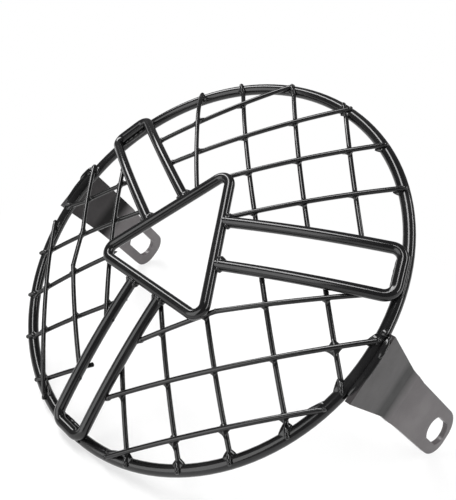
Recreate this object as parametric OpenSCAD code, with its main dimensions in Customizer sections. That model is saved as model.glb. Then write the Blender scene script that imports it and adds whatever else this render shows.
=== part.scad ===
// Motorcycle headlight guard: a domed wire mesh on a round rod ring.
// Installed frame: ring upright, front towards -Y, up is +Z, origin at the ring's centre.
// The rods are drawn lying down, with X to the right, Y up and Z out of the front,
// and are then stood up as one. The brackets are drawn in the installed frame.

/* [Ring] */
// Diameter of the ring, measured to the middle of its rod
ring_diameter = 194; // [185:1:205]
// Thickness of the ring's rod
ring_rod = 5.3; // [5:0.1:6]

/* [Mesh] */
// Thickness of the triangle's and the loops' rod
frame_rod = 5; // [4.6:0.1:5.4]
// Thickness of the mesh wire
wire = 2.2; // [2:0.1:2.4]
// Radius of the dome that the loops follow
dome_radius = 343; // [325:1:380]

/* [Triangle] */
// Height of the triangle's top corner before rounding, as a share of the ring's radius
triangle_top = 0.404; // [0.39:0.002:0.414]
// Distance down to the triangle's lower side, as a share of the ring's radius
triangle_drop = 0.258; // [0.25:0.002:0.266]
// Half the length of the lower side before rounding, as a share of the ring's radius
triangle_half = 0.37; // [0.36:0.002:0.38]
// Bend radius of the triangle's corners
triangle_bend = 4.5; // [3.5:0.5:6]

/* [Loops] */
// Distance from the right loop's centre line to each of its legs
right_loop_half = 10.3; // [9.8:0.1:11]
// Distance from the left loop's centre line to each of its legs
left_loop_half = 10.2; // [9.6:0.1:10.8]
// Distance from the bottom loop's centre line to each of its legs
bottom_loop_half = 9.3; // [8.8:0.1:10]
// Bend radius of a loop's corners
loop_bend = 5; // [3.5:0.5:7]
// How far the end bar lies inside the middle of the ring's rod
bar_inset = 0.3; // [0.2:0.1:2]
// How deep the end bar is seated in the ring
bar_seat = 0.3; // [0.2:0.1:0.5]
// Direction of the right loop, from +X
right_loop_at = 21; // [19:0.5:23]
// Direction of the left loop, from +X
left_loop_at = 156; // [154:0.5:158]
// Direction of the bottom loop, from +X
bottom_loop_at = 270.3; // [267:0.1:273]

/* [Brackets] */
// Thickness of the bracket plate
plate = 2.5; // [2:0.1:3]
// How deep the bracket's inner face is seated in the ring
plate_seat = 0.6; // [0.4:0.1:1]
// How far the right bracket reaches above its centre line at the ring
right_base_above = 13.6; // [12:0.2:15]
// How far the right bracket reaches below its centre line at the ring
right_base_below = 17.4; // [15:0.2:18]
// How far the left bracket reaches above its centre line at the ring
left_base_above = 12; // [12:0.2:14]
// How far the left bracket reaches below its centre line at the ring
left_base_below = 14; // [13:0.2:17]
// Width of the bracket's tip
tip_width = 22.8; // [21:0.2:24]
// How far the right bracket reaches behind the ring
right_reach = 91.2; // [90:0.2:94]
// How far the left bracket reaches behind the ring
left_reach = 92.8; // [91:0.2:95]
// How far behind the ring the bracket is bent
bend_at = 38; // [34:1:40]
// Inner radius of that bend
bend_radius = 45; // [35:5:60]
// How far the tip flares out
flare = 11; // [8:0.5:14]
// How wide the bracket is at its bend
waist_width = 23.8; // [23:0.2:25]
// How far past the bend it narrows to the tip's width
waist_run = 6; // [4:0.5:10]
// Radius of the tip's corners
tip_corner = 9.6; // [8:0.2:10.2]
// Width of the slots
slot_width = 11.4; // [10.4:0.2:11.6]
// Radius of the slots' ends
slot_round = 6.4; // [6:0.1:6.8]
// Length of the right slot
right_slot_length = 16.5; // [15:0.5:18]
// Distance from the end of the tip to the middle of the right slot
right_slot_inset = 10.8; // [10.4:0.2:12]
// Length of the left slot
left_slot_length = 26; // [24:0.5:27]
// Distance from the end of the tip to the middle of the left slot
left_slot_inset = 20.8; // [20:0.2:22]
// How far the right bracket's centre line lies below the ring's centre
right_bracket_drop = 1; // [0:0.2:2.4]
// How far the left bracket's centre line lies below the ring's centre
left_bracket_drop = 2.2; // [0:0.2:2.4]

/* [Fits] */
// Gap left between pieces that are welded together
fit = 0.05; // [0.04:0.01:0.08]
// How far a stub runs past the middle of the rod that its wire is welded under
stub = 2.5; // [2:0.5:4]
// How far a hidden wire end lies off the middle of the rod in front of it
tuck = 1.2; // [0.6:0.2:2]
// How far the straight and bent stretches of one rod run into each other
lap = 0.02; // [0.01:0.01:0.04]

/* [Hidden] */
$fn = 96;
ring_r = ring_diameter / 2;

// A layer is a sphere round dome_z, on which the middle of its rods or wires lies. A loop's
// legs are arcs on the loops' layer, at a distance half from the loop's centre line.
function leg_arc(half) = sqrt(dome_radius * dome_radius - half * half);
function leg_tilt(half) = asin(leg_end / leg_arc(half));
leg_end = ring_r - bar_inset - loop_bend;
bar_z = ring_rod / 2 + frame_rod / 2 - bar_seat;
dome_z = bar_z + loop_bend * sin(leg_tilt(right_loop_half))
    - leg_arc(right_loop_half) * cos(leg_tilt(right_loop_half));
back_layer = dome_radius - frame_rod / 2 - wire / 2 - fit;
front_layer = back_layer + wire + fit;
top_layer = front_layer + wire + fit;

// Triangle corners in order, counter-clockwise, and the direction and distance of its sides
corners = ring_r * [[0, triangle_top], [-triangle_half, -triangle_drop], [triangle_half, -triangle_drop]];
corner_reach = norm(corners[1]);
triangle_z = dome_z + sqrt(pow(front_layer, 2) - pow(corner_reach, 2)) + wire / 2 + fit + frame_rod / 2;
side_at = atan2(triangle_half, triangle_top + triangle_drop);
side_reach = ring_r * triangle_top * sin(side_at);

// A line across the mesh: the direction it faces and its distance from the middle
right_side = [side_at, side_reach];
left_side = [180 - side_at, side_reach];
lower_side = [270, ring_r * triangle_drop];
right_upper_leg = [right_loop_at - 90, -right_loop_half];
right_lower_leg = [right_loop_at - 90, right_loop_half];
left_upper_leg = [left_loop_at - 90, left_loop_half];
left_lower_leg = [left_loop_at - 90, -left_loop_half];
bottom_left_leg = [bottom_loop_at - 90, bottom_loop_half];
bottom_right_leg = [bottom_loop_at - 90, -bottom_loop_half];

// Each wire's line. The wires slant one way or the other, near 45 degrees, and were laid by
// hand, so each has a turn of its own and a distance that is a share of the ring's radius.
function slant_a(share, turn) = [45 + turn, share * ring_r];
function slant_b(share, turn) = [135 + turn, share * ring_r];
left_a1 = slant_a(-0.87, 0.5);
left_a2_upper = slant_a(-0.62, 0);
left_a2_middle = slant_a(-0.677, -13.5);
left_a2_lower = slant_a(-0.655, 5.5);
left_a3 = slant_a(-0.42, -4);
left_b2_outer = slant_b(0.35, -16);
left_b2_inner = slant_b(0.505, -4);
left_b3 = slant_b(0.26, -4);
left_b4 = slant_b(0.09, 0.5);
left_b5 = slant_b(-0.2, -2);
left_b6 = slant_b(-0.49, -4.5);
top_a5 = slant_a(0.1, 0.6);
top_a6 = slant_a(0.355, 2);
top_a7 = slant_a(0.58, -1);
top_a8 = slant_a(0.8, -3);
top_b1 = slant_b(0.735, 7);
top_b2 = slant_b(0.51, 1.5);
top_b3 = slant_b(0.29, -2);
top_b4 = slant_b(0.06, -3.5);
right_a3 = slant_a(-0.345, -3.5);
right_a4 = slant_a(-0.141, -0.5);
right_a5 = slant_a(0.07, 1);
right_a6 = slant_a(0.35, -0.5);
right_a7 = slant_a(0.621, -2.5);
right_b6_inner = slant_b(-0.405, 4.5);
right_b6_outer = slant_b(-0.38, -6);
right_b7 = slant_b(-0.64, -1);
right_b8 = slant_b(-0.875, 0);

// Near the ring a5 bends down more sharply, from the top layer to the ring
dip_from = 0.77 * ring_r;
dip_radius = 110;
dip_arc = sqrt(top_layer * top_layer - top_a5[1] * top_a5[1]);
dip_tilt = asin(dip_from / dip_arc);
dip_end = sqrt(ring_r * ring_r - top_a5[1] * top_a5[1]);
dip_angle = asin((dip_end - (dip_arc - dip_radius) * sin(dip_tilt)) / dip_radius) - dip_tilt;

// The bracket: a plate beside the ring, a bend, and the tip
plate_x = ring_r + ring_rod / 2 - plate_seat;
bend_start = bend_at - bend_radius * tan(flare / 2);
bend_outer = bend_radius + plate;
tip_from = bend_start + bend_outer * sin(flare);
function tip_length(reach) = (reach - tip_from) / cos(flare);

// How much thinner a rod or plate is in its bends, and thicker a wire at its kink
neck = lap;
// How much wider than the wire the ball in a knee is
knee_swell = 0.2;

// Where a line is met by another one, or by the ring, as a distance along it
function meets(line, other) = (other[1] - line[1] * cos(line[0] - other[0])) / sin(other[0] - line[0]);
function at_ring(line) = sqrt(ring_r * ring_r - line[1] * line[1]);

// Stands up what is drawn lying down
module stand() {
    rotate([90, 0, 0]) children();
}

// A rod or wire along a line, bent to a layer of the dome
module dome_arc(line, layer, from, to, rod) {
    arc = sqrt(layer * layer - line[1] * line[1]);
    first = asin(from / arc);
    last = asin(to / arc);
    rotate([0, 0, line[0]])
    translate([line[1], 0, dome_z])
    rotate([0, 90, 0])
    rotate_extrude(start = 180 - last, angle = last - first)
    translate([arc, 0])
    circle(d = rod);
}

// The knee where a kinked wire's two straight runs meet
module knee(line, layer, at) {
    rotate([0, 0, line[0]])
    translate([line[1], at, dome_z + sqrt(layer * layer - line[1] * line[1] - at * at)])
    sphere(d = wire + knee_swell);
}

// The ring's rod, with the fit round it for what is cut to land on it
module ring_torus(gap) {
    rotate_extrude()
    translate([ring_r, 0])
    circle(r = ring_rod / 2 + gap);
}

// The angle that the triangle's rod turns by at a corner, and the length it takes off each side
function corner_way(i) = corners[(i + 1) % 3] - corners[i % 3];
function corner_turn(i) = acos(corner_way(i + 2) * corner_way(i)
    / norm(corner_way(i + 2)) / norm(corner_way(i)));
function corner_trim(i) = triangle_bend * tan(corner_turn(i) / 2);

// A straight side of the triangle, with the fit round it for what is cut to land on it
module triangle_side(i, gap) {
    translate([corners[i][0], corners[i][1], triangle_z])
    rotate([0, 0, atan2(corner_way(i)[1], corner_way(i)[0])])
    translate([corner_trim(i) - lap, 0, 0])
    rotate([0, 90, 0])
    cylinder(h = norm(corner_way(i)) - corner_trim(i) - corner_trim(i + 1) + 2 * lap,
        d = frame_rod + 2 * gap);
}

// The whole triangle's rod
module triangle_rod(gap) {
    for (i = [0:2]) {
        translate([corners[i][0], corners[i][1], triangle_z])
        rotate([0, 0, atan2(corner_way(i + 2)[1], corner_way(i + 2)[0])])
        translate([-corner_trim(i), triangle_bend, 0])
        rotate([0, 0, -90])
        rotate_extrude(angle = corner_turn(i))
        translate([triangle_bend, 0])
        circle(d = frame_rod - neck + 2 * gap);
        triangle_side(i, gap);
    }
}

// A leg of a loop, with the fit round it for what is cut to land on it
module leg(line, gap) {
    dome_arc(line, dome_radius, 0, leg_end, frame_rod + 2 * gap);
}

// A loop: two legs on the dome, and an end bar in the plane of the legs' ends
module loop(at, half, side) {
    difference() {
        union() {
            for (line = [[at - 90, -half], [at - 90, half]])
                dome_arc(line, dome_radius, meets(line, side), leg_end + lap, frame_rod);
            rotate([0, 0, at - 90])
            translate([0, leg_end, dome_z + leg_arc(half) * cos(leg_tilt(half))])
            rotate([-leg_tilt(half), 0, 0]) {
                for (turn = [0, 1])
                    translate([(half - loop_bend) * (1 - 2 * turn), 0, 0])
                    rotate_extrude(start = 90 * turn, angle = 90)
                    translate([loop_bend, 0])
                    circle(d = frame_rod - neck);
                translate([loop_bend - half - lap, loop_bend, 0])
                rotate([0, 90, 0])
                cylinder(h = 2 * (half - loop_bend + lap), d = frame_rod);
            }
        }
        ring_torus(fit);
        triangle_rod(fit);
    }
}

// A mesh wire: its line, layer and two ends, less the child that it lands on
module mesh_wire(line, layer, from, to) {
    color([0.05, 0.05, 0.055])
    stand()
    difference() {
        dome_arc(line, layer, from, to, wire);
        ring_torus(fit);
        children();
    }
}

module outer_ring() {
    color([0.05, 0.05, 0.055])
    stand()
    ring_torus(0);
}

module triangle_frame() {
    color([0.05, 0.05, 0.055])
    stand()
    triangle_rod(0);
}

module right_loop() {
    color([0.05, 0.05, 0.055])
    stand()
    loop(right_loop_at, right_loop_half, right_side);
}

module left_loop() {
    color([0.05, 0.05, 0.055])
    stand()
    loop(left_loop_at, left_loop_half, left_side);
}

module bottom_loop() {
    color([0.05, 0.05, 0.055])
    stand()
    loop(bottom_loop_at, bottom_loop_half, lower_side);
}

// A bracket on the right, in the installed frame: plate beside the ring, bend, slotted tip
module bracket(reach, above, below, drop, slot_length, slot_inset) {
    half = waist_width / 2;
    difference() {
        translate([0, 0, -drop]) {
            translate([plate_x, 0, 0])
            rotate([90, 0, 90])
            linear_extrude(height = plate)
            polygon([[-1.5, -below], [-1.5, above], [bend_start + lap, half], [bend_start + lap, -half]]);
            translate([plate_x + bend_outer, bend_start, 0]) {
                rotate_extrude(start = 180 - flare, angle = flare)
                translate([bend_radius + neck / 2, neck / 2 - half])
                square([plate - neck, waist_width - neck]);
                rotate([0, 0, -flare])
                translate([-bend_outer, -lap, 0])
                rotate([90, 0, 90])
                linear_extrude(height = plate)
                difference() {
                    tip_outline(tip_length(reach));
                    translate([tip_length(reach) - slot_inset, 0])
                    slot_outline(slot_length);
                }
            }
        }
        stand() ring_torus(fit);
    }
}

// The tip seen from the side, from the bend to its rounded end
module tip_outline(length) {
    polygon([[0, -waist_width / 2], [0, waist_width / 2],
        [waist_run, tip_width / 2], [waist_run, -tip_width / 2]]);
    translate([0, -tip_width / 2])
    square([length - tip_corner, tip_width]);
    translate([0, tip_corner - tip_width / 2])
    square([length, tip_width - 2 * tip_corner]);
    for (up = [-1, 1])
        translate([length - tip_corner, up * (tip_width / 2 - tip_corner)])
        circle(r = tip_corner);
}

// The slot: flat sides, and ends rounded more gently than half its width
module slot_outline(length) {
    intersection() {
        square([length + 2, slot_width], center = true);
        union() {
            square([length - 2 * slot_round, 2 * slot_round - 0.1], center = true);
            for (end = [-1, 1])
                translate([end * (length / 2 - slot_round), 0])
                circle(r = slot_round);
        }
    }
}

module right_bracket() {
    color([0.1, 0.1, 0.105])
    bracket(right_reach, right_base_above, right_base_below, right_bracket_drop,
        right_slot_length, right_slot_inset);
}

module left_bracket() {
    color([0.1, 0.1, 0.105])
    mirror([1, 0, 0])
    bracket(left_reach, left_base_above, left_base_below, left_bracket_drop,
        left_slot_length, left_slot_inset);
}

// Left field, where the wires of slant a lie in front
module left_wire_a1() {
    mesh_wire(left_a1, front_layer, -at_ring(left_a1), at_ring(left_a1));
}

module left_wire_a2() {
    color([0.05, 0.05, 0.055])
    stand()
    difference() {
        union() {
            dome_arc(left_a2_upper, front_layer, meets(left_a2_upper, left_a2_middle),
                at_ring(left_a2_upper), wire);
            knee(left_a2_middle, front_layer, meets(left_a2_middle, left_a2_upper));
            dome_arc(left_a2_middle, front_layer, meets(left_a2_middle, left_a2_lower),
                meets(left_a2_middle, left_a2_upper), wire);
            knee(left_a2_lower, front_layer, meets(left_a2_lower, left_a2_middle));
            dome_arc(left_a2_lower, front_layer, meets(left_a2_lower, bottom_left_leg),
                meets(left_a2_lower, left_a2_middle), wire);
        }
        ring_torus(fit);
        leg(bottom_left_leg, fit);
    }
}

module left_wire_a3() {
    mesh_wire(left_a3, front_layer, meets(left_a3, bottom_left_leg), meets(left_a3, left_lower_leg)) {
        leg(bottom_left_leg, fit);
        leg(left_lower_leg, fit);
        triangle_rod(fit);
    }
}

module left_wire_b2() {
    color([0.05, 0.05, 0.055])
    stand()
    difference() {
        union() {
            dome_arc(left_b2_outer, back_layer, meets(left_b2_outer, left_b2_inner),
                at_ring(left_b2_outer), wire);
            dome_arc(left_b2_inner, back_layer, meets(left_b2_inner, left_lower_leg),
                meets(left_b2_inner, left_b2_outer), wire);
            knee(left_b2_inner, back_layer, meets(left_b2_inner, left_b2_outer));
        }
        ring_torus(fit);
    }
}

module left_wire_b3() {
    mesh_wire(left_b3, back_layer, meets(left_b3, left_lower_leg), at_ring(left_b3));
}

module left_wire_b4() {
    mesh_wire(left_b4, back_layer, meets(left_b4, left_side), at_ring(left_b4));
}

module left_wire_b5() {
    mesh_wire(left_b5, back_layer, meets(left_b5, bottom_left_leg) + tuck, at_ring(left_b5));
}

module left_wire_b6() {
    mesh_wire(left_b6, back_layer, meets(left_b6, bottom_left_leg) - stub, at_ring(left_b6));
}

// Top field, where the wires of slant b lie in front, but for a5
module top_wire_a5() {
    color([0.05, 0.05, 0.055])
    stand()
    difference() {
        union() {
            dome_arc(top_a5, top_layer, meets(top_a5, left_side), dip_from + lap, wire);
            rotate([0, 0, top_a5[0]])
            translate([top_a5[1], 0, dome_z])
            rotate([-dip_tilt, 0, 0])
            translate([0, 0, dip_arc - dip_radius])
            rotate([0, 90, 0])
            rotate_extrude(start = 180 - dip_angle, angle = dip_angle)
            translate([dip_radius, 0])
            circle(d = wire - neck);
        }
        ring_torus(fit);
        triangle_side(0, fit);
    }
}

module top_wire_a6() {
    mesh_wire(top_a6, back_layer, meets(top_a6, right_upper_leg), at_ring(top_a6));
}

module top_wire_a7() {
    mesh_wire(top_a7, back_layer, meets(top_a7, right_upper_leg), at_ring(top_a7));
}

module top_wire_a8() {
    mesh_wire(top_a8, back_layer, meets(top_a8, right_upper_leg), at_ring(top_a8));
}

module top_wire_b1() {
    mesh_wire(top_b1, front_layer, -at_ring(top_b1), meets(top_b1, left_upper_leg))
    leg(left_upper_leg, fit);
}

module top_wire_b2() {
    mesh_wire(top_b2, front_layer, -at_ring(top_b2), meets(top_b2, left_upper_leg))
    leg(left_upper_leg, fit);
}

module top_wire_b3() {
    mesh_wire(top_b3, front_layer, -at_ring(top_b3), meets(top_b3, right_side) + triangle_bend)
    triangle_rod(fit);
}

module top_wire_b4() {
    mesh_wire(top_b4, front_layer, -at_ring(top_b4), meets(top_b4, right_side))
    triangle_rod(fit);
}

// Lower right field, where the wires of slant b lie in front
module right_wire_a3() {
    mesh_wire(right_a3, back_layer, -at_ring(right_a3), meets(right_a3, bottom_right_leg) + tuck);
}

module right_wire_a4() {
    mesh_wire(right_a4, back_layer, -at_ring(right_a4), meets(right_a4, lower_side));
}

module right_wire_a5() {
    mesh_wire(right_a5, back_layer, -at_ring(right_a5), meets(right_a5, lower_side) + triangle_bend);
}

module right_wire_a6() {
    mesh_wire(right_a6, back_layer, -at_ring(right_a6), meets(right_a6, right_lower_leg));
}

module right_wire_a7() {
    mesh_wire(right_a7, back_layer, -at_ring(right_a7), meets(right_a7, right_lower_leg));
}

module right_wire_b6() {
    color([0.05, 0.05, 0.055])
    stand()
    difference() {
        union() {
            dome_arc(right_b6_inner, front_layer, meets(right_b6_inner, right_b6_outer),
                meets(right_b6_inner, bottom_right_leg), wire);
            dome_arc(right_b6_outer, front_layer, meets(right_b6_outer, right_lower_leg),
                meets(right_b6_outer, right_b6_inner), wire);
            knee(right_b6_outer, front_layer, meets(right_b6_outer, right_b6_inner));
        }
        leg(bottom_right_leg, fit);
        leg(right_lower_leg, fit);
        triangle_rod(fit);
    }
}

module right_wire_b7() {
    mesh_wire(right_b7, front_layer, -at_ring(right_b7), meets(right_b7, bottom_right_leg))
    leg(bottom_right_leg, fit);
}

module right_wire_b8() {
    mesh_wire(right_b8, front_layer, -at_ring(right_b8), at_ring(right_b8));
}

outer_ring();
triangle_frame();
right_loop();
left_loop();
bottom_loop();
right_bracket();
left_bracket();
left_wire_a1();
left_wire_a2();
left_wire_a3();
left_wire_b2();
left_wire_b3();
left_wire_b4();
left_wire_b5();
left_wire_b6();
top_wire_a5();
top_wire_a6();
top_wire_a7();
top_wire_a8();
top_wire_b1();
top_wire_b2();
top_wire_b3();
top_wire_b4();
right_wire_a3();
right_wire_a4();
right_wire_a5();
right_wire_a6();
right_wire_a7();
right_wire_b6();
right_wire_b7();
right_wire_b8();
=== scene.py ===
"""Motorcycle headlight guard: paint, welds, floor, light and camera round the fixed solids.

The guard stands as it is installed: its front looks towards -Y, up is +Z, in metres.
Each weld is a closed surface on a grid of two parameters, worked out as whole arrays.
"""

import math

import bpy
import numpy as np
from bpy.props import FloatProperty, FloatVectorProperty, PointerProperty
from mathutils import Matrix, Vector


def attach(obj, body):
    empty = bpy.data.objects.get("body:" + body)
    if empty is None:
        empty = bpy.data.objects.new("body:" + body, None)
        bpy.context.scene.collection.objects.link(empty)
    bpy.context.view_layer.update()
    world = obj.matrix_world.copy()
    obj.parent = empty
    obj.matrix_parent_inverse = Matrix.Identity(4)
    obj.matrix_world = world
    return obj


bl_info = {
    "name": "Motorcycle headlight guard",
    "version": (1, 0, 0),
    "blender": (4, 5, 0),
    "location": "View3D > Sidebar > Guard",
    "description": "Paints and welds a wire headlight guard and sets its studio",
    "category": "Object",
}

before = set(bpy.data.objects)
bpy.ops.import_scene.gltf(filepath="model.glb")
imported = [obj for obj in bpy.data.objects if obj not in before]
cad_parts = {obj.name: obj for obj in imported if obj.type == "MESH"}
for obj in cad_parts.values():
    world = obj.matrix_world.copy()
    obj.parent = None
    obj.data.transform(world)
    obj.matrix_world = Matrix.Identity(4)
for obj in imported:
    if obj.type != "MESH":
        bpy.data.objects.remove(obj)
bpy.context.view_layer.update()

# Sizes of the solids, in millimetres, as the part gives them
RING_R = 97.0
RING_ROD = 5.3
FRAME_ROD = 5.0
WIRE = 2.2
FIT = 0.05
DOME_RADIUS = 343.0
LOOP_BEND = 5.0
BAR_INSET = 0.3
BAR_SEAT = 0.3
TRIANGLE = RING_R * np.array([[0.0, 0.404], [-0.37, -0.258], [0.37, -0.258]])
# Each loop's direction in degrees, and how far its legs lie from its centre line
LOOPS = {"right_loop": (21.0, 10.3), "left_loop": (156.0, 10.2), "bottom_loop": (270.3, 9.3)}

LEG_END = RING_R - BAR_INSET - LOOP_BEND
LEG_ARC = math.sqrt(DOME_RADIUS**2 - LOOPS["right_loop"][1] ** 2)
LEG_TILT = math.asin(LEG_END / LEG_ARC)
BAR_W = RING_ROD / 2 + FRAME_ROD / 2 - BAR_SEAT
DOME_W = BAR_W + LOOP_BEND * math.sin(LEG_TILT) - LEG_ARC * math.cos(LEG_TILT)
BACK = DOME_RADIUS - FRAME_ROD / 2 - WIRE / 2 - FIT
FRONT = BACK + WIRE + FIT
TOP = FRONT + WIRE + FIT
TRIANGLE_W = DOME_W + math.sqrt(FRONT**2 - TRIANGLE[1] @ TRIANGLE[1]) + WIRE / 2 + FIT + FRAME_ROD / 2


def slant_a(share, turn):
    """A wire's line, as the direction it faces in degrees and its distance from the middle."""
    return 45.0 + turn, share * RING_R


def slant_b(share, turn):
    """The same for the wires that cross those."""
    return 135.0 + turn, share * RING_R


# Each wire's line and layer
WIRES = {
    "left_a1": (slant_a(-0.87, 0.5), FRONT),
    "left_a2_upper": (slant_a(-0.62, 0), FRONT),
    "left_a2_middle": (slant_a(-0.677, -13.5), FRONT),
    "left_a2_lower": (slant_a(-0.655, 5.5), FRONT),
    "left_a3": (slant_a(-0.42, -4), FRONT),
    "left_b2_outer": (slant_b(0.35, -16), BACK),
    "left_b2_inner": (slant_b(0.505, -4), BACK),
    "left_b3": (slant_b(0.26, -4), BACK),
    "left_b4": (slant_b(0.09, 0.5), BACK),
    "left_b5": (slant_b(-0.2, -2), BACK),
    "left_b6": (slant_b(-0.49, -4.5), BACK),
    "top_a5": (slant_a(0.1, 0.6), TOP),
    "top_a6": (slant_a(0.355, 2), BACK),
    "top_a7": (slant_a(0.58, -1), BACK),
    "top_a8": (slant_a(0.8, -3), BACK),
    "top_b1": (slant_b(0.735, 7), FRONT),
    "top_b2": (slant_b(0.51, 1.5), FRONT),
    "top_b3": (slant_b(0.29, -2), FRONT),
    "top_b4": (slant_b(0.06, -3.5), FRONT),
    "right_a3": (slant_a(-0.345, -3.5), BACK),
    "right_a4": (slant_a(-0.141, -0.5), BACK),
    "right_a5": (slant_a(0.07, 1), BACK),
    "right_a6": (slant_a(0.35, -0.5), BACK),
    "right_a7": (slant_a(0.621, -2.5), BACK),
    "right_b6_inner": (slant_b(-0.405, 4.5), FRONT),
    "right_b6_outer": (slant_b(-0.38, -6), FRONT),
    "right_b7": (slant_b(-0.64, -1), FRONT),
    "right_b8": (slant_b(-0.875, 0), FRONT),
}

# Which end of which wire lands on the ring, -1 and 1 being the two ways along its line, and
# the size of the weld there
RING_ENDS = [
    ("left_a1", -1, 1.2), ("left_a1", 1, 1.0), ("left_a2_upper", 1, 1.0), ("left_b2_outer", 1, 1.0),
    ("left_b3", 1, 1.0), ("left_b4", 1, 1.1), ("left_b5", 1, 1.0), ("left_b6", 1, 1.0),
    ("top_a5", 1, 0.9), ("top_a6", 1, 0.8), ("top_a7", 1, 0.9), ("top_a8", 1, 0.9),
    ("top_b1", -1, 1.1), ("top_b2", -1, 1.0), ("top_b3", -1, 1.0), ("top_b4", -1, 1.0),
    ("right_a3", -1, 1.2), ("right_a4", -1, 1.3), ("right_a5", -1, 1.3), ("right_a6", -1, 1.4),
    ("right_a7", -1, 1.2), ("right_b7", -1, 1.2), ("right_b8", -1, 1.5), ("right_b8", 1, 1.4),
]

# Which wire lands on which leg, named by its loop and side, and the way along the wire
LEG_ENDS = [
    ("left_a2_lower", "bottom_loop", 1, -1), ("left_a3", "bottom_loop", 1, -1),
    ("left_a3", "left_loop", -1, 1), ("left_b2_inner", "left_loop", -1, -1),
    ("left_b3", "left_loop", -1, -1), ("left_b5", "bottom_loop", 1, -1),
    ("left_b6", "bottom_loop", 1, -1), ("top_a6", "right_loop", -1, -1),
    ("top_a7", "right_loop", -1, -1), ("top_a8", "right_loop", -1, -1),
    ("top_b1", "left_loop", 1, 1), ("top_b2", "left_loop", 1, 1),
    ("right_a3", "bottom_loop", -1, 1), ("right_a6", "right_loop", 1, 1),
    ("right_a7", "right_loop", 1, 1), ("right_b6_inner", "bottom_loop", -1, 1),
    ("right_b7", "bottom_loop", -1, 1),
]

# Crossings of two wires, with the size of the weld there
CROSSINGS = [
    ("left_a1", "left_b3", 1.0), ("left_a1", "left_b4", 1.0), ("left_a1", "left_b5", 1.0),
    ("left_a1", "left_b6", 1.0), ("left_a2_upper", "left_b2_outer", 1.0),
    ("left_a2_middle", "left_b3", 1.0), ("left_a2_lower", "left_b4", 1.0),
    ("left_a2_lower", "left_b5", 1.0), ("left_a2_lower", "left_b6", 1.0),
    ("left_a3", "left_b2_inner", 1.0), ("left_a3", "left_b3", 1.0),
    ("left_a3", "left_b4", 1.0), ("left_a3", "left_b5", 1.0),
    ("top_a5", "top_b1", 1.0), ("top_a5", "top_b2", 1.0), ("top_a6", "top_b1", 1.0),
    ("top_a6", "top_b2", 1.0), ("top_a6", "top_b3", 1.0), ("top_a6", "top_b4", 1.0),
    ("top_a7", "top_b2", 1.0), ("top_a7", "top_b3", 1.0), ("top_a7", "top_b4", 1.0),
    ("top_a8", "top_b3", 1.0), ("top_a8", "top_b4", 1.0),
    ("right_a3", "right_b7", 1.0), ("right_a3", "right_b8", 1.1),
    ("right_a4", "right_b6_inner", 1.0), ("right_a4", "right_b7", 1.0),
    ("right_a4", "right_b8", 1.35), ("right_a5", "right_b6_inner", 1.0),
    ("right_a5", "right_b7", 1.0), ("right_a5", "right_b8", 1.35),
    ("right_a6", "right_b6_outer", 1.0), ("right_a6", "right_b7", 1.0),
    ("right_a6", "right_b8", 1.2), ("right_a7", "right_b6_outer", 1.0),
    ("right_a7", "right_b7", 1.6),
]


# How far along its line the spatter on the bottom loop's left leg lies
DROPS = (47.0, 76.5)


def meets(line, other):
    """How far along a line another one meets it."""
    return (other[1] - line[1] * math.cos(math.radians(line[0] - other[0]))) / math.sin(
        math.radians(other[0] - line[0])
    )


def on_dome(line, layer, along):
    """The point of a wire that far along its line: X to the right, Y up, Z out of the front."""
    face = math.radians(line[0])
    n = np.array([math.cos(face), math.sin(face)])
    d = np.array([-n[1], n[0]])
    p = n * line[1] + d * along
    return np.array([p[0], p[1], DOME_W + math.sqrt(layer**2 - p @ p)])


def way_along(line):
    """The direction in which a line runs, in the plane of the ring."""
    face = math.radians(line[0])
    return np.array([-math.sin(face), math.cos(face), 0.0])


def leg_line(loop, side):
    """The line of one leg of a loop."""
    return LOOPS[loop][0] - 90.0, side * LOOPS[loop][1]


def installed(points):
    """Stands up points drawn lying down, and turns millimetres into metres."""
    points = np.asarray(points)
    return np.stack([points[..., 0], -points[..., 2], points[..., 1]], -1) / 1000.0


def axes_from(first, second):
    """Three unit vectors at right angles, the first along first and the second near second."""
    a = np.asarray(first, float) / np.linalg.norm(first)
    b = np.asarray(second, float) - a * (np.asarray(second, float) @ a)
    b = b / np.linalg.norm(b)
    return np.stack([a, b, np.cross(a, b)])


def lump(centre, axes, radii, phase=0.0, around=20, rows=12):
    """A closed drop of weld metal: a sphere by longitude and latitude, stretched to three
    radii and swollen by 1 + 0.07 sin(3 longitude + phase) cos(latitude) and a slower wave."""
    u = np.linspace(0, 2 * math.pi, around, endpoint=False)
    v = np.linspace(-math.pi / 2, math.pi / 2, rows + 2)[1:-1]
    u, v = np.meshgrid(u, v)
    swell = 1 + 0.07 * np.sin(3 * u + phase) * np.cos(v) + 0.05 * np.sin(2 * v + 2 * phase)
    shell = np.stack([np.cos(u) * np.cos(v), np.sin(u) * np.cos(v), np.sin(v)], -1) * swell[..., None]
    poles = np.array([[0, 0, -1.0], [0, 0, 1.0]])
    verts = np.concatenate([shell.reshape(-1, 3), poles]) * np.asarray(radii)
    verts = np.asarray(centre) + verts @ axes
    return verts, ball_faces(around, rows)


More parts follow.
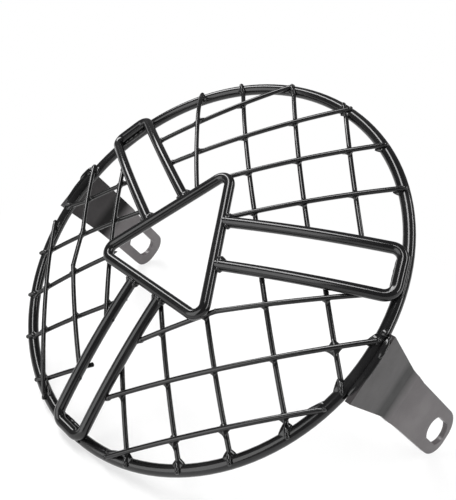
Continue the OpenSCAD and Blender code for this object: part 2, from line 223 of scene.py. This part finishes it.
def web(centre, one, two, reach, height, power=0.7, around=32, rows=7):
    """Weld metal drawn into the four corners between two rods that cross: an outline with its
    points on the rods, (|cos a|^p + |sin a|^p)^(-1/p) with p the power, and a lens across it
    that is height sin(latitude) thick."""
    u = np.linspace(0, 2 * math.pi, around, endpoint=False)
    v = np.linspace(-math.pi / 2, math.pi / 2, rows + 2)[1:-1]
    outline = reach * (abs(np.cos(u)) ** power + abs(np.sin(u)) ** power) ** (-1 / power)
    one = np.asarray(one, float) / np.linalg.norm(one)
    two = np.asarray(two, float) / np.linalg.norm(two)
    flat = np.cos(u)[:, None] * one + np.sin(u)[:, None] * two
    up = np.cross(one, two)
    up /= np.linalg.norm(up)
    shell = (flat * outline[:, None])[None] * np.cos(v)[:, None, None] + up * (
        height * np.sin(v)[:, None, None])
    verts = np.concatenate([shell.reshape(-1, 3), [-height * up, height * up]]) + np.asarray(centre)
    return verts, ball_faces(around, rows)


def ball_faces(around, rows):
    """Faces of a grid of longitude and latitude that is closed by two poles."""
    i = np.arange(around)
    j = (i + 1) % around
    r = np.arange(rows - 1)[:, None] * around
    quads = np.stack([r + i, r + j, r + j + around, r + i + around], -1).reshape(-1, 4)
    low = np.full(around, rows * around)
    top = (rows - 1) * around
    caps = np.concatenate([np.stack([low, j, i], -1), np.stack([low + 1, top + i, top + j], -1)])
    return [*map(tuple, quads.tolist()), *map(tuple, caps.tolist())]


def seam(path, up, width, height, ripple=0.12, pitch=1.6, around=14):
    """A run of weld along a path: an oval carried along it, whose size follows
    sqrt(1 - s^2)^0.5 to its two ends and swells by a wave of the given pitch."""
    path = np.asarray(path, float)
    step = np.linalg.norm(np.diff(path, axis=0), axis=1)
    dist = np.concatenate([[0], np.cumsum(step)])
    count = max(12, int(dist[-1] / 0.35))
    s = np.linspace(0, dist[-1], count)
    p = np.stack([np.interp(s, dist, path[:, k]) for k in range(3)], -1)
    t = np.gradient(p, axis=0)
    t /= np.linalg.norm(t, axis=1)[:, None]
    up = np.broadcast_to(np.asarray(up, float), p.shape)
    side = np.cross(t, up)
    side /= np.linalg.norm(side, axis=1)[:, None]
    lift = np.cross(side, t)
    x = np.clip(2 * s / dist[-1] - 1, -0.995, 0.995)
    size = (1 - x**2) ** 0.25 * (1 + ripple * np.sin(2 * math.pi * s / pitch))
    a = np.linspace(0, 2 * math.pi, around, endpoint=False)
    ring = (
        side[:, None] * (width * np.cos(a))[None, :, None]
        + lift[:, None] * (height * np.sin(a))[None, :, None]
    )
    verts = (p[:, None] + ring * size[:, None, None]).reshape(-1, 3)
    i = np.arange(around)
    j = (i + 1) % around
    r = np.arange(count - 1)[:, None] * around
    quads = np.stack([r + i, r + i + around, r + j + around, r + j], -1).reshape(-1, 4)
    ends = [tuple(range(around)), tuple(range((count - 1) * around + around - 1, (count - 1) * around - 1, -1))]
    return verts, [*map(tuple, quads.tolist()), *ends]


def weld_piece(name, parts, material):
    """Joins lumps and seams into one smooth piece that rides on the guard."""
    verts, faces, base = [], [], 0
    for v, f in parts:
        verts.append(v)
        faces.extend(tuple(k + base for k in face) for face in f)
        base += len(v)
    mesh = bpy.data.meshes.new(name)
    mesh.from_pydata(installed(np.concatenate(verts)).tolist(), [], faces)
    mesh.update()
    mesh.polygons.foreach_set("use_smooth", np.ones(len(mesh.polygons), bool))
    mesh.materials.append(material)
    obj = bpy.data.objects.new(name, mesh)
    bpy.context.scene.collection.objects.link(obj)
    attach(obj, "root")
    return obj


def node(tree, kind, **inputs):
    """Adds a shader node and sets its sockets by name."""
    made = tree.nodes.new(kind)
    for key, value in inputs.items():
        made.inputs[key.replace("_", " ")].default_value = value
    return made


def black_paint(name, colour, dusty, gloss, peel, scale):
    """Black paint from Object coordinates: two tones mixed by a slow noise, roughness from a
    middle-sized one, and the sprayed film's dimples and runs from a fine one."""
    material = bpy.data.materials.get(name)
    if material:
        return material
    material = bpy.data.materials.new(name)
    material.use_nodes = True
    tree = material.node_tree
    tree.nodes.clear()
    out = tree.nodes.new("ShaderNodeOutputMaterial")
    paint = tree.nodes.new("ShaderNodeBsdfPrincipled")
    place = tree.nodes.new("ShaderNodeTexCoord")
    slow = node(tree, "ShaderNodeTexNoise", Scale=scale, Detail=4.0, Roughness=0.6)
    tones = tree.nodes.new("ShaderNodeValToRGB")
    tones.color_ramp.elements[0].position = 0.42
    tones.color_ramp.elements[0].color = (*colour, 1)
    tones.color_ramp.elements[1].position = 0.72
    tones.color_ramp.elements[1].color = (*dusty, 1)
    middle = node(tree, "ShaderNodeTexNoise", Scale=scale * 3.5, Detail=3.0, Roughness=0.55)
    sheen = tree.nodes.new("ShaderNodeMapRange")
    sheen.inputs["To Min"].default_value = gloss * 0.8
    sheen.inputs["To Max"].default_value = gloss * 1.35
    fine = node(tree, "ShaderNodeTexNoise", Scale=scale * 5, Detail=2.0, Roughness=0.5)
    bump = tree.nodes.new("ShaderNodeBump")
    bump.inputs["Strength"].default_value = peel
    bump.inputs["Distance"].default_value = 0.0002
    link = tree.links.new
    for noise in (slow, middle, fine):
        link(place.outputs["Object"], noise.inputs["Vector"])
    link(slow.outputs["Fac"], tones.inputs["Fac"])
    link(tones.outputs["Color"], paint.inputs["Base Color"])
    link(middle.outputs["Fac"], sheen.inputs["Value"])
    link(sheen.outputs["Result"], paint.inputs["Roughness"])
    link(fine.outputs["Fac"], bump.inputs["Height"])
    link(bump.outputs["Normal"], paint.inputs["Normal"])
    link(paint.outputs["BSDF"], out.inputs["Surface"])
    return material


def rod_paint():
    """The gloss black of the rods and wires."""
    look = bpy.context.scene.guard_paint
    return black_paint("gloss_black_rods", look.rod_colour, look.rod_dust, look.rod_gloss, look.peel, 60.0)


def bracket_paint():
    """The satin black of the brackets, with painted shade and light from a ramp along Y: painted shade from the ring
    to the bend, darkest in a band of painted shade at the bend, and painted light on the tip, both in the colour and
    in the specular level."""
    look = bpy.context.scene.guard_paint
    name = "satin_black_brackets"
    if name in bpy.data.materials:
        return bpy.data.materials[name]
    material = black_paint(name, look.bracket_colour, look.bracket_dust, look.bracket_gloss, look.peel, 45.0)
    tree = material.node_tree
    paint = next(n for n in tree.nodes if n.type == "BSDF_PRINCIPLED")
    tones = next(n for n in tree.nodes if n.type == "VALTORGB")
    place = next(n for n in tree.nodes if n.type == "TEX_COORD")
    split = tree.nodes.new("ShaderNodeSeparateXYZ")
    # The share of 90 mm along the bracket in Y, which places the painted shade and light
    film = tree.nodes.new("ShaderNodeMapRange")
    film.inputs["From Min"].default_value = 0.0
    film.inputs["From Max"].default_value = 0.09
    # Place along the bracket as a share of 90 mm, and the level of painted shade and light there out of 4
    level = tree.nodes.new("ShaderNodeValToRGB")
    stops = ((0.0, 0.2), (0.25, 0.2), (0.31, 0.02), (0.38, 0.02), (0.46, 0.55), (1.0, 0.62))
    level.color_ramp.elements[0].position = stops[0][0]
    level.color_ramp.elements[1].position = stops[-1][0]
    for place_at, _ in stops[1:-1]:
        level.color_ramp.elements.new(place_at)
    for stop, (_, tone) in zip(level.color_ramp.elements, stops):
        stop.color = (tone, tone, tone, 1)
    # Specular level from the same ramp, as a painted reflection: weaker on the plate and at the bend, stronger on the
    # tip
    painted_sheen = tree.nodes.new("ShaderNodeMapRange")
    painted_sheen.inputs["From Max"].default_value = 0.6
    painted_sheen.inputs["To Min"].default_value = 0.12
    painted_sheen.inputs["To Max"].default_value = 0.5
    # The tones scaled by four times the ramp's level: painted shade on the plate and at the bend, painted light on
    # the tip
    strength = tree.nodes.new("ShaderNodeMath")
    strength.operation = "MULTIPLY"
    strength.inputs[1].default_value = 4.0
    # The colour darkened and lightened by the painted shade and light level
    thin = tree.nodes.new("ShaderNodeVectorMath")
    thin.operation = "SCALE"
    link = tree.links.new
    link(place.outputs["Object"], split.inputs[0])
    link(split.outputs["Y"], film.inputs["Value"])
    link(tones.outputs["Color"], thin.inputs[0])
    link(film.outputs["Result"], level.inputs["Fac"])
    link(level.outputs["Color"], strength.inputs[0])
    link(level.outputs["Color"], painted_sheen.inputs["Value"])
    link(painted_sheen.outputs["Result"], paint.inputs["Specular IOR Level"])
    link(strength.outputs[0], thin.inputs["Scale"])
    link(thin.outputs[0], paint.inputs["Base Color"])
    return material


def give(names, material):
    """Puts one material on the named solids."""
    for name in names:
        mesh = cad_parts[name].data
        mesh.materials.clear()
        mesh.materials.append(material)


class GuardPaint(bpy.types.PropertyGroup):
    """Colours and gloss of the guard's paint."""

    rod_colour: FloatVectorProperty(
        name="Rod colour", description="Black of the rods and wires", subtype="COLOR",
        default=(0.004, 0.004, 0.0043), min=0, max=1)
    rod_dust: FloatVectorProperty(
        name="Rod dust", description="Lighter tone where the film is thin", subtype="COLOR",
        default=(0.011, 0.0108, 0.0112), min=0, max=1)
    rod_gloss: FloatProperty(
        name="Rod roughness", description="Roughness of the rods' paint", default=0.13, min=0.02, max=1)
    bracket_colour: FloatVectorProperty(
        name="Bracket colour", description="Black of the bracket plates", subtype="COLOR",
        default=(0.031, 0.0275, 0.0285), min=0, max=1)
    bracket_dust: FloatVectorProperty(
        name="Bracket dust", description="Lighter tone of the bracket plates", subtype="COLOR",
        default=(0.046, 0.042, 0.043), min=0, max=1)
    bracket_gloss: FloatProperty(
        name="Bracket roughness", description="Roughness of the plates' paint", default=0.3, min=0.02, max=1)
    peel: FloatProperty(
        name="Dimples", description="Strength of the sprayed film's dimples", default=0.05, min=0, max=1)


class GuardWelds(bpy.types.PropertyGroup):
    """Sizes of the welds."""

    ring_bead: FloatProperty(
        name="Ring weld", description="Radius of the weld at a wire's end on the ring",
        default=0.0021, min=0.001, max=0.004, unit="LENGTH")
    leg_bead: FloatProperty(
        name="Leg weld", description="Radius of the weld where a wire meets a loop's leg",
        default=0.0016, min=0.001, max=0.004, unit="LENGTH")
    cross_bead: FloatProperty(
        name="Crossing weld", description="Radius of a plain weld where two wires cross",
        default=0.0014, min=0.0005, max=0.004, unit="LENGTH")
    frame_bead: FloatProperty(
        name="Frame weld", description="Width of the seams that join loops, triangle and ring",
        default=0.0014, min=0.0005, max=0.003, unit="LENGTH")
    bracket_bead: FloatProperty(
        name="Bracket weld", description="Width of the seam along a bracket's root",
        default=0.0022, min=0.0005, max=0.004, unit="LENGTH")


class GuardStudio(bpy.types.PropertyGroup):
    """Floor, light and camera."""

    floor_colour: FloatVectorProperty(
        name="Floor", description="Colour of the floor", subtype="COLOR", default=(0.93, 0.93, 0.93), min=0, max=1)
    ambient: FloatProperty(
        name="Ambient", description="Level of the light from all round", default=0.55, min=0, max=2)
    camera_at: FloatVectorProperty(
        name="Camera", description="Place of the camera", subtype="TRANSLATION",
        default=(0.20298, -0.24669, -0.03343))
    camera_turn: FloatVectorProperty(
        name="Camera turn", description="Turn of the camera", subtype="EULER",
        default=(math.radians(99.641), math.radians(-35.692), math.radians(32.268)))
    lens: FloatProperty(name="Lens", description="Focal length on a frame 36 mm high", default=49.33, min=20, max=200)


class GUARD_OT_paint_rods(bpy.types.Operator):
    """Paints the ring, triangle, loops and wires gloss black"""

    bl_idname = "guard.paint_rods"
    bl_label = "Paint rods and wires"

    def execute(self, context):
        give([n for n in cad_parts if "bracket" not in n], rod_paint())
        return {"FINISHED"}


class GUARD_OT_paint_brackets(bpy.types.Operator):
    """Paints the two brackets satin black"""

    bl_idname = "guard.paint_brackets"
    bl_label = "Paint brackets"

    def execute(self, context):
        give(["right_bracket", "left_bracket"], bracket_paint())
        return {"FINISHED"}


class GUARD_OT_weld_ring(bpy.types.Operator):
    """Welds each wire's end to the ring"""

    bl_idname = "guard.weld_ring"
    bl_label = "Weld wires to the ring"

    def execute(self, context):
        r = context.scene.guard_welds.ring_bead * 1000
        parts = []
        for k, (name, way, size) in enumerate(RING_ENDS):
            line, layer = WIRES[name]
            # The wire's end is laid over the ring's front, down to its outer side
            trail = []
            for rho, height in ((-4.6, None), (-3.2, None), (-1.6, 3.0), (0.0, 3.35), (1.0, 2.9), (1.45, 2.3)):
                along = way * math.sqrt((RING_R + rho) ** 2 - line[1] ** 2)
                point = on_dome(line, layer, along)
                if height is not None:
                    point[2] = height
                trail.append(point)
            trail = np.array(trail)
            if layer != BACK:
                trail = trail[1:]
            half = WIRE / 2
            parts.append(seam(trail, [0, 0, 1.0], half * 0.98, half * 0.98, 0.03, 2.7))
            parts.append(lump(trail[-2], axes_from(trail[-2] - trail[-3], [0, 0, 1.0]),
                              (half * 1.05, half * 1.1, half * 0.95), 1.3 * k))
            # Weld metal in the corners between the wire and the ring
            foot = trail[-3].copy()
            out = np.array([foot[0], foot[1], 0.0]) / np.hypot(foot[0], foot[1])
            foot = out * (RING_R - 2.0) + [0, 0, RING_ROD / 2 - 0.5]
            parts.append(web(foot, way_along(line), np.array([-out[1], out[0], 0.0]), r * size * 1.15, r * 0.4, 1.2))
        weld_piece("ring_welds", parts, rod_paint())
        return {"FINISHED"}


class GUARD_OT_weld_legs(bpy.types.Operator):
    """Welds the wires to the loops' legs and the triangle"""

    bl_idname = "guard.weld_legs"
    bl_label = "Weld wires to the legs"

    def execute(self, context):
        r = context.scene.guard_welds.leg_bead * 1000
        parts = []
        for k, (name, loop, side, way) in enumerate(LEG_ENDS):
            line, layer = WIRES[name]
            leg = leg_line(loop, side)
            hit = meets(line, leg)
            slope = abs(math.sin(math.radians(leg[0] - line[0])))
            # The wire reaches the leg's flank this far before the leg's middle
            short = FRAME_ROD / 2 / max(slope, 0.45)
            place = on_dome(line, layer, hit - way * short)
            size = 0.72 if layer == BACK else 0.9
            parts.append(lump(place, axes_from(way_along(line), [0, 0, 1.0]),
                              (r * size * 1.3, r * size * 0.85, r * size), 0.9 * k))
        # Two drops of spatter on the inner flank of the bottom loop's left leg
        leg = leg_line("bottom_loop", 1)
        inner = -np.array([math.cos(math.radians(leg[0])), math.sin(math.radians(leg[0])), 0.0])
        for k, along in enumerate(DROPS):
            place = on_dome(leg, DOME_RADIUS, along) + inner * FRAME_ROD / 2
            parts.append(lump(place, axes_from(way_along(leg), [0, 0, 1.0]),
                              (r * 0.75, r * 0.5, r * 0.5), 1.7 * k))
        weld_piece("leg_welds", parts, rod_paint())
        return {"FINISHED"}


class GUARD_OT_weld_crossings(bpy.types.Operator):
    """Welds the wires where they cross"""

    bl_idname = "guard.weld_crossings"
    bl_label = "Weld crossing wires"

    def execute(self, context):
        r = context.scene.guard_welds.cross_bead * 1000
        parts = []
        for k, (over, under, size) in enumerate(CROSSINGS):
            one, top = WIRES[over]
            two, low = WIRES[under]
            a = on_dome(one, top, meets(one, two))
            b = on_dome(two, low, meets(two, one))
            parts.append(web((a + b) / 2, way_along(one), way_along(two), r * size * 2.3, r * size**0.5 * 0.75))
        weld_piece("crossing_welds", parts, rod_paint())
        return {"FINISHED"}


class GUARD_OT_weld_frame(bpy.types.Operator):
    """Welds the loops to the triangle and to the ring"""

    bl_idname = "guard.weld_frame"
    bl_label = "Weld loops to triangle and ring"

    def execute(self, context):
        w = context.scene.guard_welds.frame_bead * 1000
        half = FRAME_ROD / 2
        parts = []
        for name, (at, between) in LOOPS.items():
            d = np.array([math.cos(math.radians(at)), math.sin(math.radians(at)), 0.0])
            n = np.array([d[1], -d[0], 0.0])
            bar = LEG_END + LOOP_BEND * math.cos(LEG_TILT)
            # Two seams along the end bar, one on its inner and one on its outer side
            x = np.linspace(-1, 1, 15)[:, None] * (between - 1)
            for side, lift, off in ((-1, 2.6, half + 0.25), (1, 2.2, half - 0.75)):
                path = n * x + d * (bar + side * off) + np.array([0, 0, lift])
                parts.append(seam(path, [0, 0, 1.0], w * 0.7, w * 0.8, 0.05, 3.3))
        # Wedges at both flanks of each leg, where it butts on the triangle
        centre = TRIANGLE.mean(0)
        for name, (at, between) in LOOPS.items():
            for side in (-1, 1):
                leg = leg_line(name, side)
                best = None
                for i in range(3):
                    p, q = TRIANGLE[i], TRIANGLE[(i + 1) % 3]
                    e = (q - p) / np.linalg.norm(q - p)
                    m = np.array([e[1], -e[0]])
                    face = math.degrees(math.atan2(m[1], m[0]))
                    if math.cos(math.radians(face - at)) > 0.9:
                        best = (face, float(p @ m)), e, m
                line, e, m = best
                t = meets(leg, line)
                foot = on_dome(leg, DOME_RADIUS, t)
                e3, m3 = np.append(e, 0), np.append(m, 0)
                for turn in (-1, 1):
                    path = np.linspace(-1, 1, 9)[:, None] * np.array([0, 0, 1.7]) + foot
                    path = path + m3 * (half + 0.2) + e3 * turn * (half + 0.1)
                    parts.append(seam(path, m3, w * 0.75, w * 0.75, 0.05))
                parts.append(web(foot + m3 * (half + 0.9) - [0, 0, 0.3], e3, m3, w * 2.9, half * 0.72, 1.1))
                arc = np.linspace(-1, 1, 11)[:, None]
                path = foot + m3 * (half + 0.1) + e3 * arc * half * 0.9 + np.array([0, 0, half - 0.95]) * (1 - 0.3 * arc**2)
                parts.append(seam(path, [0, 0, 1.0], w * 0.7, w * 0.6, 0.08))
        weld_piece("frame_welds", parts, rod_paint())
        return {"FINISHED"}


class GUARD_OT_weld_brackets(bpy.types.Operator):
    """Welds the brackets to the ring"""

    bl_idname = "guard.weld_brackets"
    bl_label = "Weld brackets to the ring"

    def execute(self, context):
        w = context.scene.guard_welds.bracket_bead * 1000
        parts = []
        for side in (-1, 1):
            v = np.linspace(-16, 12, 29) if side > 0 else np.linspace(-14, 10, 25)
            x = np.sqrt(RING_R**2 - v**2) + RING_ROD / 2
            # A smooth fillet in front, between the ring and the plate's edge, and one behind
            path = np.stack([side * (x + 0.55), v, np.full_like(v, 1.15)], -1)
            parts.append(seam(path, [0, 0, 1.0], w * 0.8, w * 0.62, 0.02, 9.0))
            path = np.stack([side * (x - 1.0), v, np.full_like(v, -2.5)], -1)
            parts.append(seam(path, [0, 0, 1.0], w * 0.55, w * 0.5, 0.08, 3.1))
            # A long nugget near the upper end, and small drops beside it
            lean = axes_from([side * -0.13, 1.0, 0], [0, 0, 1.0])
            parts.append(lump([side * 100.5, 6.3, 2.1], lean, (w * 1.95, w * 0.42, w * 0.72), 0.4))
            parts.append(lump([side * 97.6, 11.6, 2.9], lean, (w * 0.8, w * 0.3, w * 0.6), 2.1))
            parts.append(lump([side * 97.2, 7.6, 2.9], lean, (w * 0.7, w * 0.25, w * 0.5), 4.0))
        weld_piece("bracket_welds", parts, rod_paint())
        return {"FINISHED"}


def floor_place():
    """The floor's tilt and height: it touches the ring's lowest point and the brackets' tips.
    For each tilt the lowest reach of both is found, and the tilt where they agree is taken."""
    def points(name):
        return np.array([v.co[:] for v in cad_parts[name].data.vertices])

    tilt = np.radians(np.linspace(30, 60, 601))
    up = np.stack([np.zeros_like(tilt), -np.sin(tilt), np.cos(tilt)], -1)
    ring = (points("outer_ring") @ up.T).min(0)
    tips = np.minimum((points("right_bracket") @ up.T).min(0), (points("left_bracket") @ up.T).min(0))
    k = int(np.argmin(abs(ring - tips)))
    return up[k], float(min(ring[k], tips[k]))


def floor_material(colour):
    """A pale floor that takes shadow, lifted to white for camera, glossy and transmission
    rays, and seen from its upper side only."""
    material = bpy.data.materials.new("pale_floor")
    material.use_nodes = True
    tree = material.node_tree
    tree.nodes.clear()
    out = tree.nodes.new("ShaderNodeOutputMaterial")
    matt = tree.nodes.new("ShaderNodeBsdfDiffuse")
    matt.inputs["Color"].default_value = (*colour, 1)
    white = node(tree, "ShaderNodeEmission", Strength=1.0)
    path = tree.nodes.new("ShaderNodeLightPath")
    place = tree.nodes.new("ShaderNodeTexCoord")
    far = tree.nodes.new("ShaderNodeVectorMath")
    far.operation = "LENGTH"
    # Near the guard the floor shows its shadow, and from 0.25 m on it is plain white
    share = tree.nodes.new("ShaderNodeMapRange")
    share.interpolation_type = "SMOOTHSTEP"
    share.inputs["From Min"].default_value = 0.08
    share.inputs["From Max"].default_value = 0.25
    share.inputs["To Min"].default_value = 0.6
    share.inputs["To Max"].default_value = 1.0
    looks = []
    for way in ("Is Glossy Ray", "Is Transmission Ray"):
        either = tree.nodes.new("ShaderNodeMath")
        either.operation = "MAXIMUM"
        looks.append((either, way))
    seen = tree.nodes.new("ShaderNodeMath")
    seen.operation = "MULTIPLY"
    lift = tree.nodes.new("ShaderNodeMixShader")
    clear = tree.nodes.new("ShaderNodeBsdfTransparent")
    side = tree.nodes.new("ShaderNodeNewGeometry")
    one_sided = tree.nodes.new("ShaderNodeMixShader")
    link = tree.links.new
    link(place.outputs["Object"], far.inputs[0])
    link(far.outputs["Value"], share.inputs["Value"])
    last = path.outputs["Is Camera Ray"]
    for either, way in looks:
        link(last, either.inputs[0])
        link(path.outputs[way], either.inputs[1])
        last = either.outputs[0]
    link(last, seen.inputs[0])
    link(share.outputs["Result"], seen.inputs[1])
    link(seen.outputs[0], lift.inputs[0])
    link(matt.outputs[0], lift.inputs[1])
    link(white.outputs[0], lift.inputs[2])
    link(side.outputs["Backfacing"], one_sided.inputs[0])
    link(lift.outputs[0], one_sided.inputs[1])
    link(clear.outputs[0], one_sided.inputs[2])
    link(one_sided.outputs[0], out.inputs["Surface"])
    return material


class GUARD_OT_studio(bpy.types.Operator):
    """Sets the floor, the soft light and the camera"""

    bl_idname = "guard.studio"
    bl_label = "Set the studio"

    def execute(self, context):
        studio = context.scene.guard_studio
        up, low = floor_place()
        up = Vector(up)
        # The floor
        turn = up.to_track_quat("Z", "Y").to_matrix().to_4x4()
        size = 3.0
        mesh = bpy.data.meshes.new("floor")
        corners = [Matrix.Translation(up * (low - 0.0002)) @ turn @ Vector(c)
                   for c in ((-size, -size, 0), (size, -size, 0), (size, size, 0), (-size, size, 0))]
        mesh.from_pydata([tuple(c) for c in corners], [], [(0, 1, 2, 3)])
        mesh.materials.append(floor_material(studio.floor_colour))
        floor = bpy.data.objects.new("floor", mesh)
        context.scene.collection.objects.link(floor)
        # The world: white where it is seen, even light elsewhere
        world = bpy.data.worlds.new("studio")
        context.scene.world = world
        world.use_nodes = True
        tree = world.node_tree
        tree.nodes.clear()
        out = tree.nodes.new("ShaderNodeOutputWorld")
        even = node(tree, "ShaderNodeBackground", Strength=studio.ambient)
        white = node(tree, "ShaderNodeBackground", Strength=1.0)
        dim = node(tree, "ShaderNodeBackground", Strength=0.22)
        path = tree.nodes.new("ShaderNodeLightPath")
        glossy = tree.nodes.new("ShaderNodeMixShader")
        seen = tree.nodes.new("ShaderNodeMixShader")
        link = tree.links.new
        link(path.outputs["Is Glossy Ray"], glossy.inputs[0])
        link(even.outputs[0], glossy.inputs[1])
        link(dim.outputs[0], glossy.inputs[2])
        sharp = tree.nodes.new("ShaderNodeMath")
        sharp.operation = "MAXIMUM"
        link(path.outputs["Is Camera Ray"], sharp.inputs[0])
        link(path.outputs["Is Transmission Ray"], sharp.inputs[1])
        link(sharp.outputs[0], seen.inputs[0])
        link(glossy.outputs[0], seen.inputs[1])
        link(white.outputs[0], seen.inputs[2])
        link(seen.outputs[0], out.inputs["Surface"])
        # Soft boxes: name, direction from the guard in camera terms, distance, size, power
        camera = bpy.data.objects.new("camera", bpy.data.cameras.new("camera"))
        camera.location = studio.camera_at
        camera.rotation_euler = studio.camera_turn
        camera.data.sensor_fit = "VERTICAL"
        camera.data.sensor_height = 36
        camera.data.lens = studio.lens
        camera.data.clip_start = 0.01
        context.scene.collection.objects.link(camera)
        context.scene.camera = camera
        view = camera.rotation_euler.to_matrix()
        for name, direction, distance, box, power in (
            ("key_box", (-0.35, 1.0, 0.25), 0.9, (1.2, 0.22), 9.0),
            ("side_box", (1.0, 0.35, 0.5), 1.0, (0.2, 1.2), 6.0),
            ("fill_box", (-1.0, 0.1, 0.8), 1.1, (0.9, 1.0), 7.0),
        ):
            lamp = bpy.data.lights.new(name, "AREA")
            lamp.shape = "RECTANGLE"
            lamp.size, lamp.size_y = box
            lamp.energy = power
            place = (view @ Vector(direction)).normalized()
            obj = bpy.data.objects.new(name, lamp)
            obj.location = place * distance
            obj.rotation_euler = place.to_track_quat("Z", "Y").to_euler()
            context.scene.collection.objects.link(obj)
        context.scene.view_settings.view_transform = "Standard"
        return {"FINISHED"}


class GUARD_PT_panel(bpy.types.Panel):
    """Lists the guard's steps and sizes"""

    bl_idname = "GUARD_PT_panel"
    bl_label = "Headlight guard"
    bl_space_type = "VIEW_3D"
    bl_region_type = "UI"
    bl_category = "Guard"

    def draw(self, context):
        for cls in OPERATORS:
            self.layout.operator(cls.bl_idname)
        for group in (context.scene.guard_paint, context.scene.guard_welds, context.scene.guard_studio):
            box = self.layout.box()
            for key in group.bl_rna.properties.keys():
                if key not in {"rna_type", "name"}:
                    box.prop(group, key)


OPERATORS = (
    GUARD_OT_paint_rods,
    GUARD_OT_paint_brackets,
    GUARD_OT_weld_ring,
    GUARD_OT_weld_legs,
    GUARD_OT_weld_crossings,
    GUARD_OT_weld_frame,
    GUARD_OT_weld_brackets,
    GUARD_OT_studio,
)
CLASSES = (GuardPaint, GuardWelds, GuardStudio, *OPERATORS, GUARD_PT_panel)


def register():
    for cls in CLASSES:
        bpy.utils.register_class(cls)
    bpy.types.Scene.guard_paint = PointerProperty(type=GuardPaint)
    bpy.types.Scene.guard_welds = PointerProperty(type=GuardWelds)
    bpy.types.Scene.guard_studio = PointerProperty(type=GuardStudio)


def unregister():
    del bpy.types.Scene.guard_studio
    del bpy.types.Scene.guard_welds
    del bpy.types.Scene.guard_paint
    for cls in reversed(CLASSES):
        bpy.utils.unregister_class(cls)


def main():
    register()
    for cls in OPERATORS:
        group, step = cls.bl_idname.split(".")
        getattr(getattr(bpy.ops, group), step)()


if __name__ == "__main__":
    main()
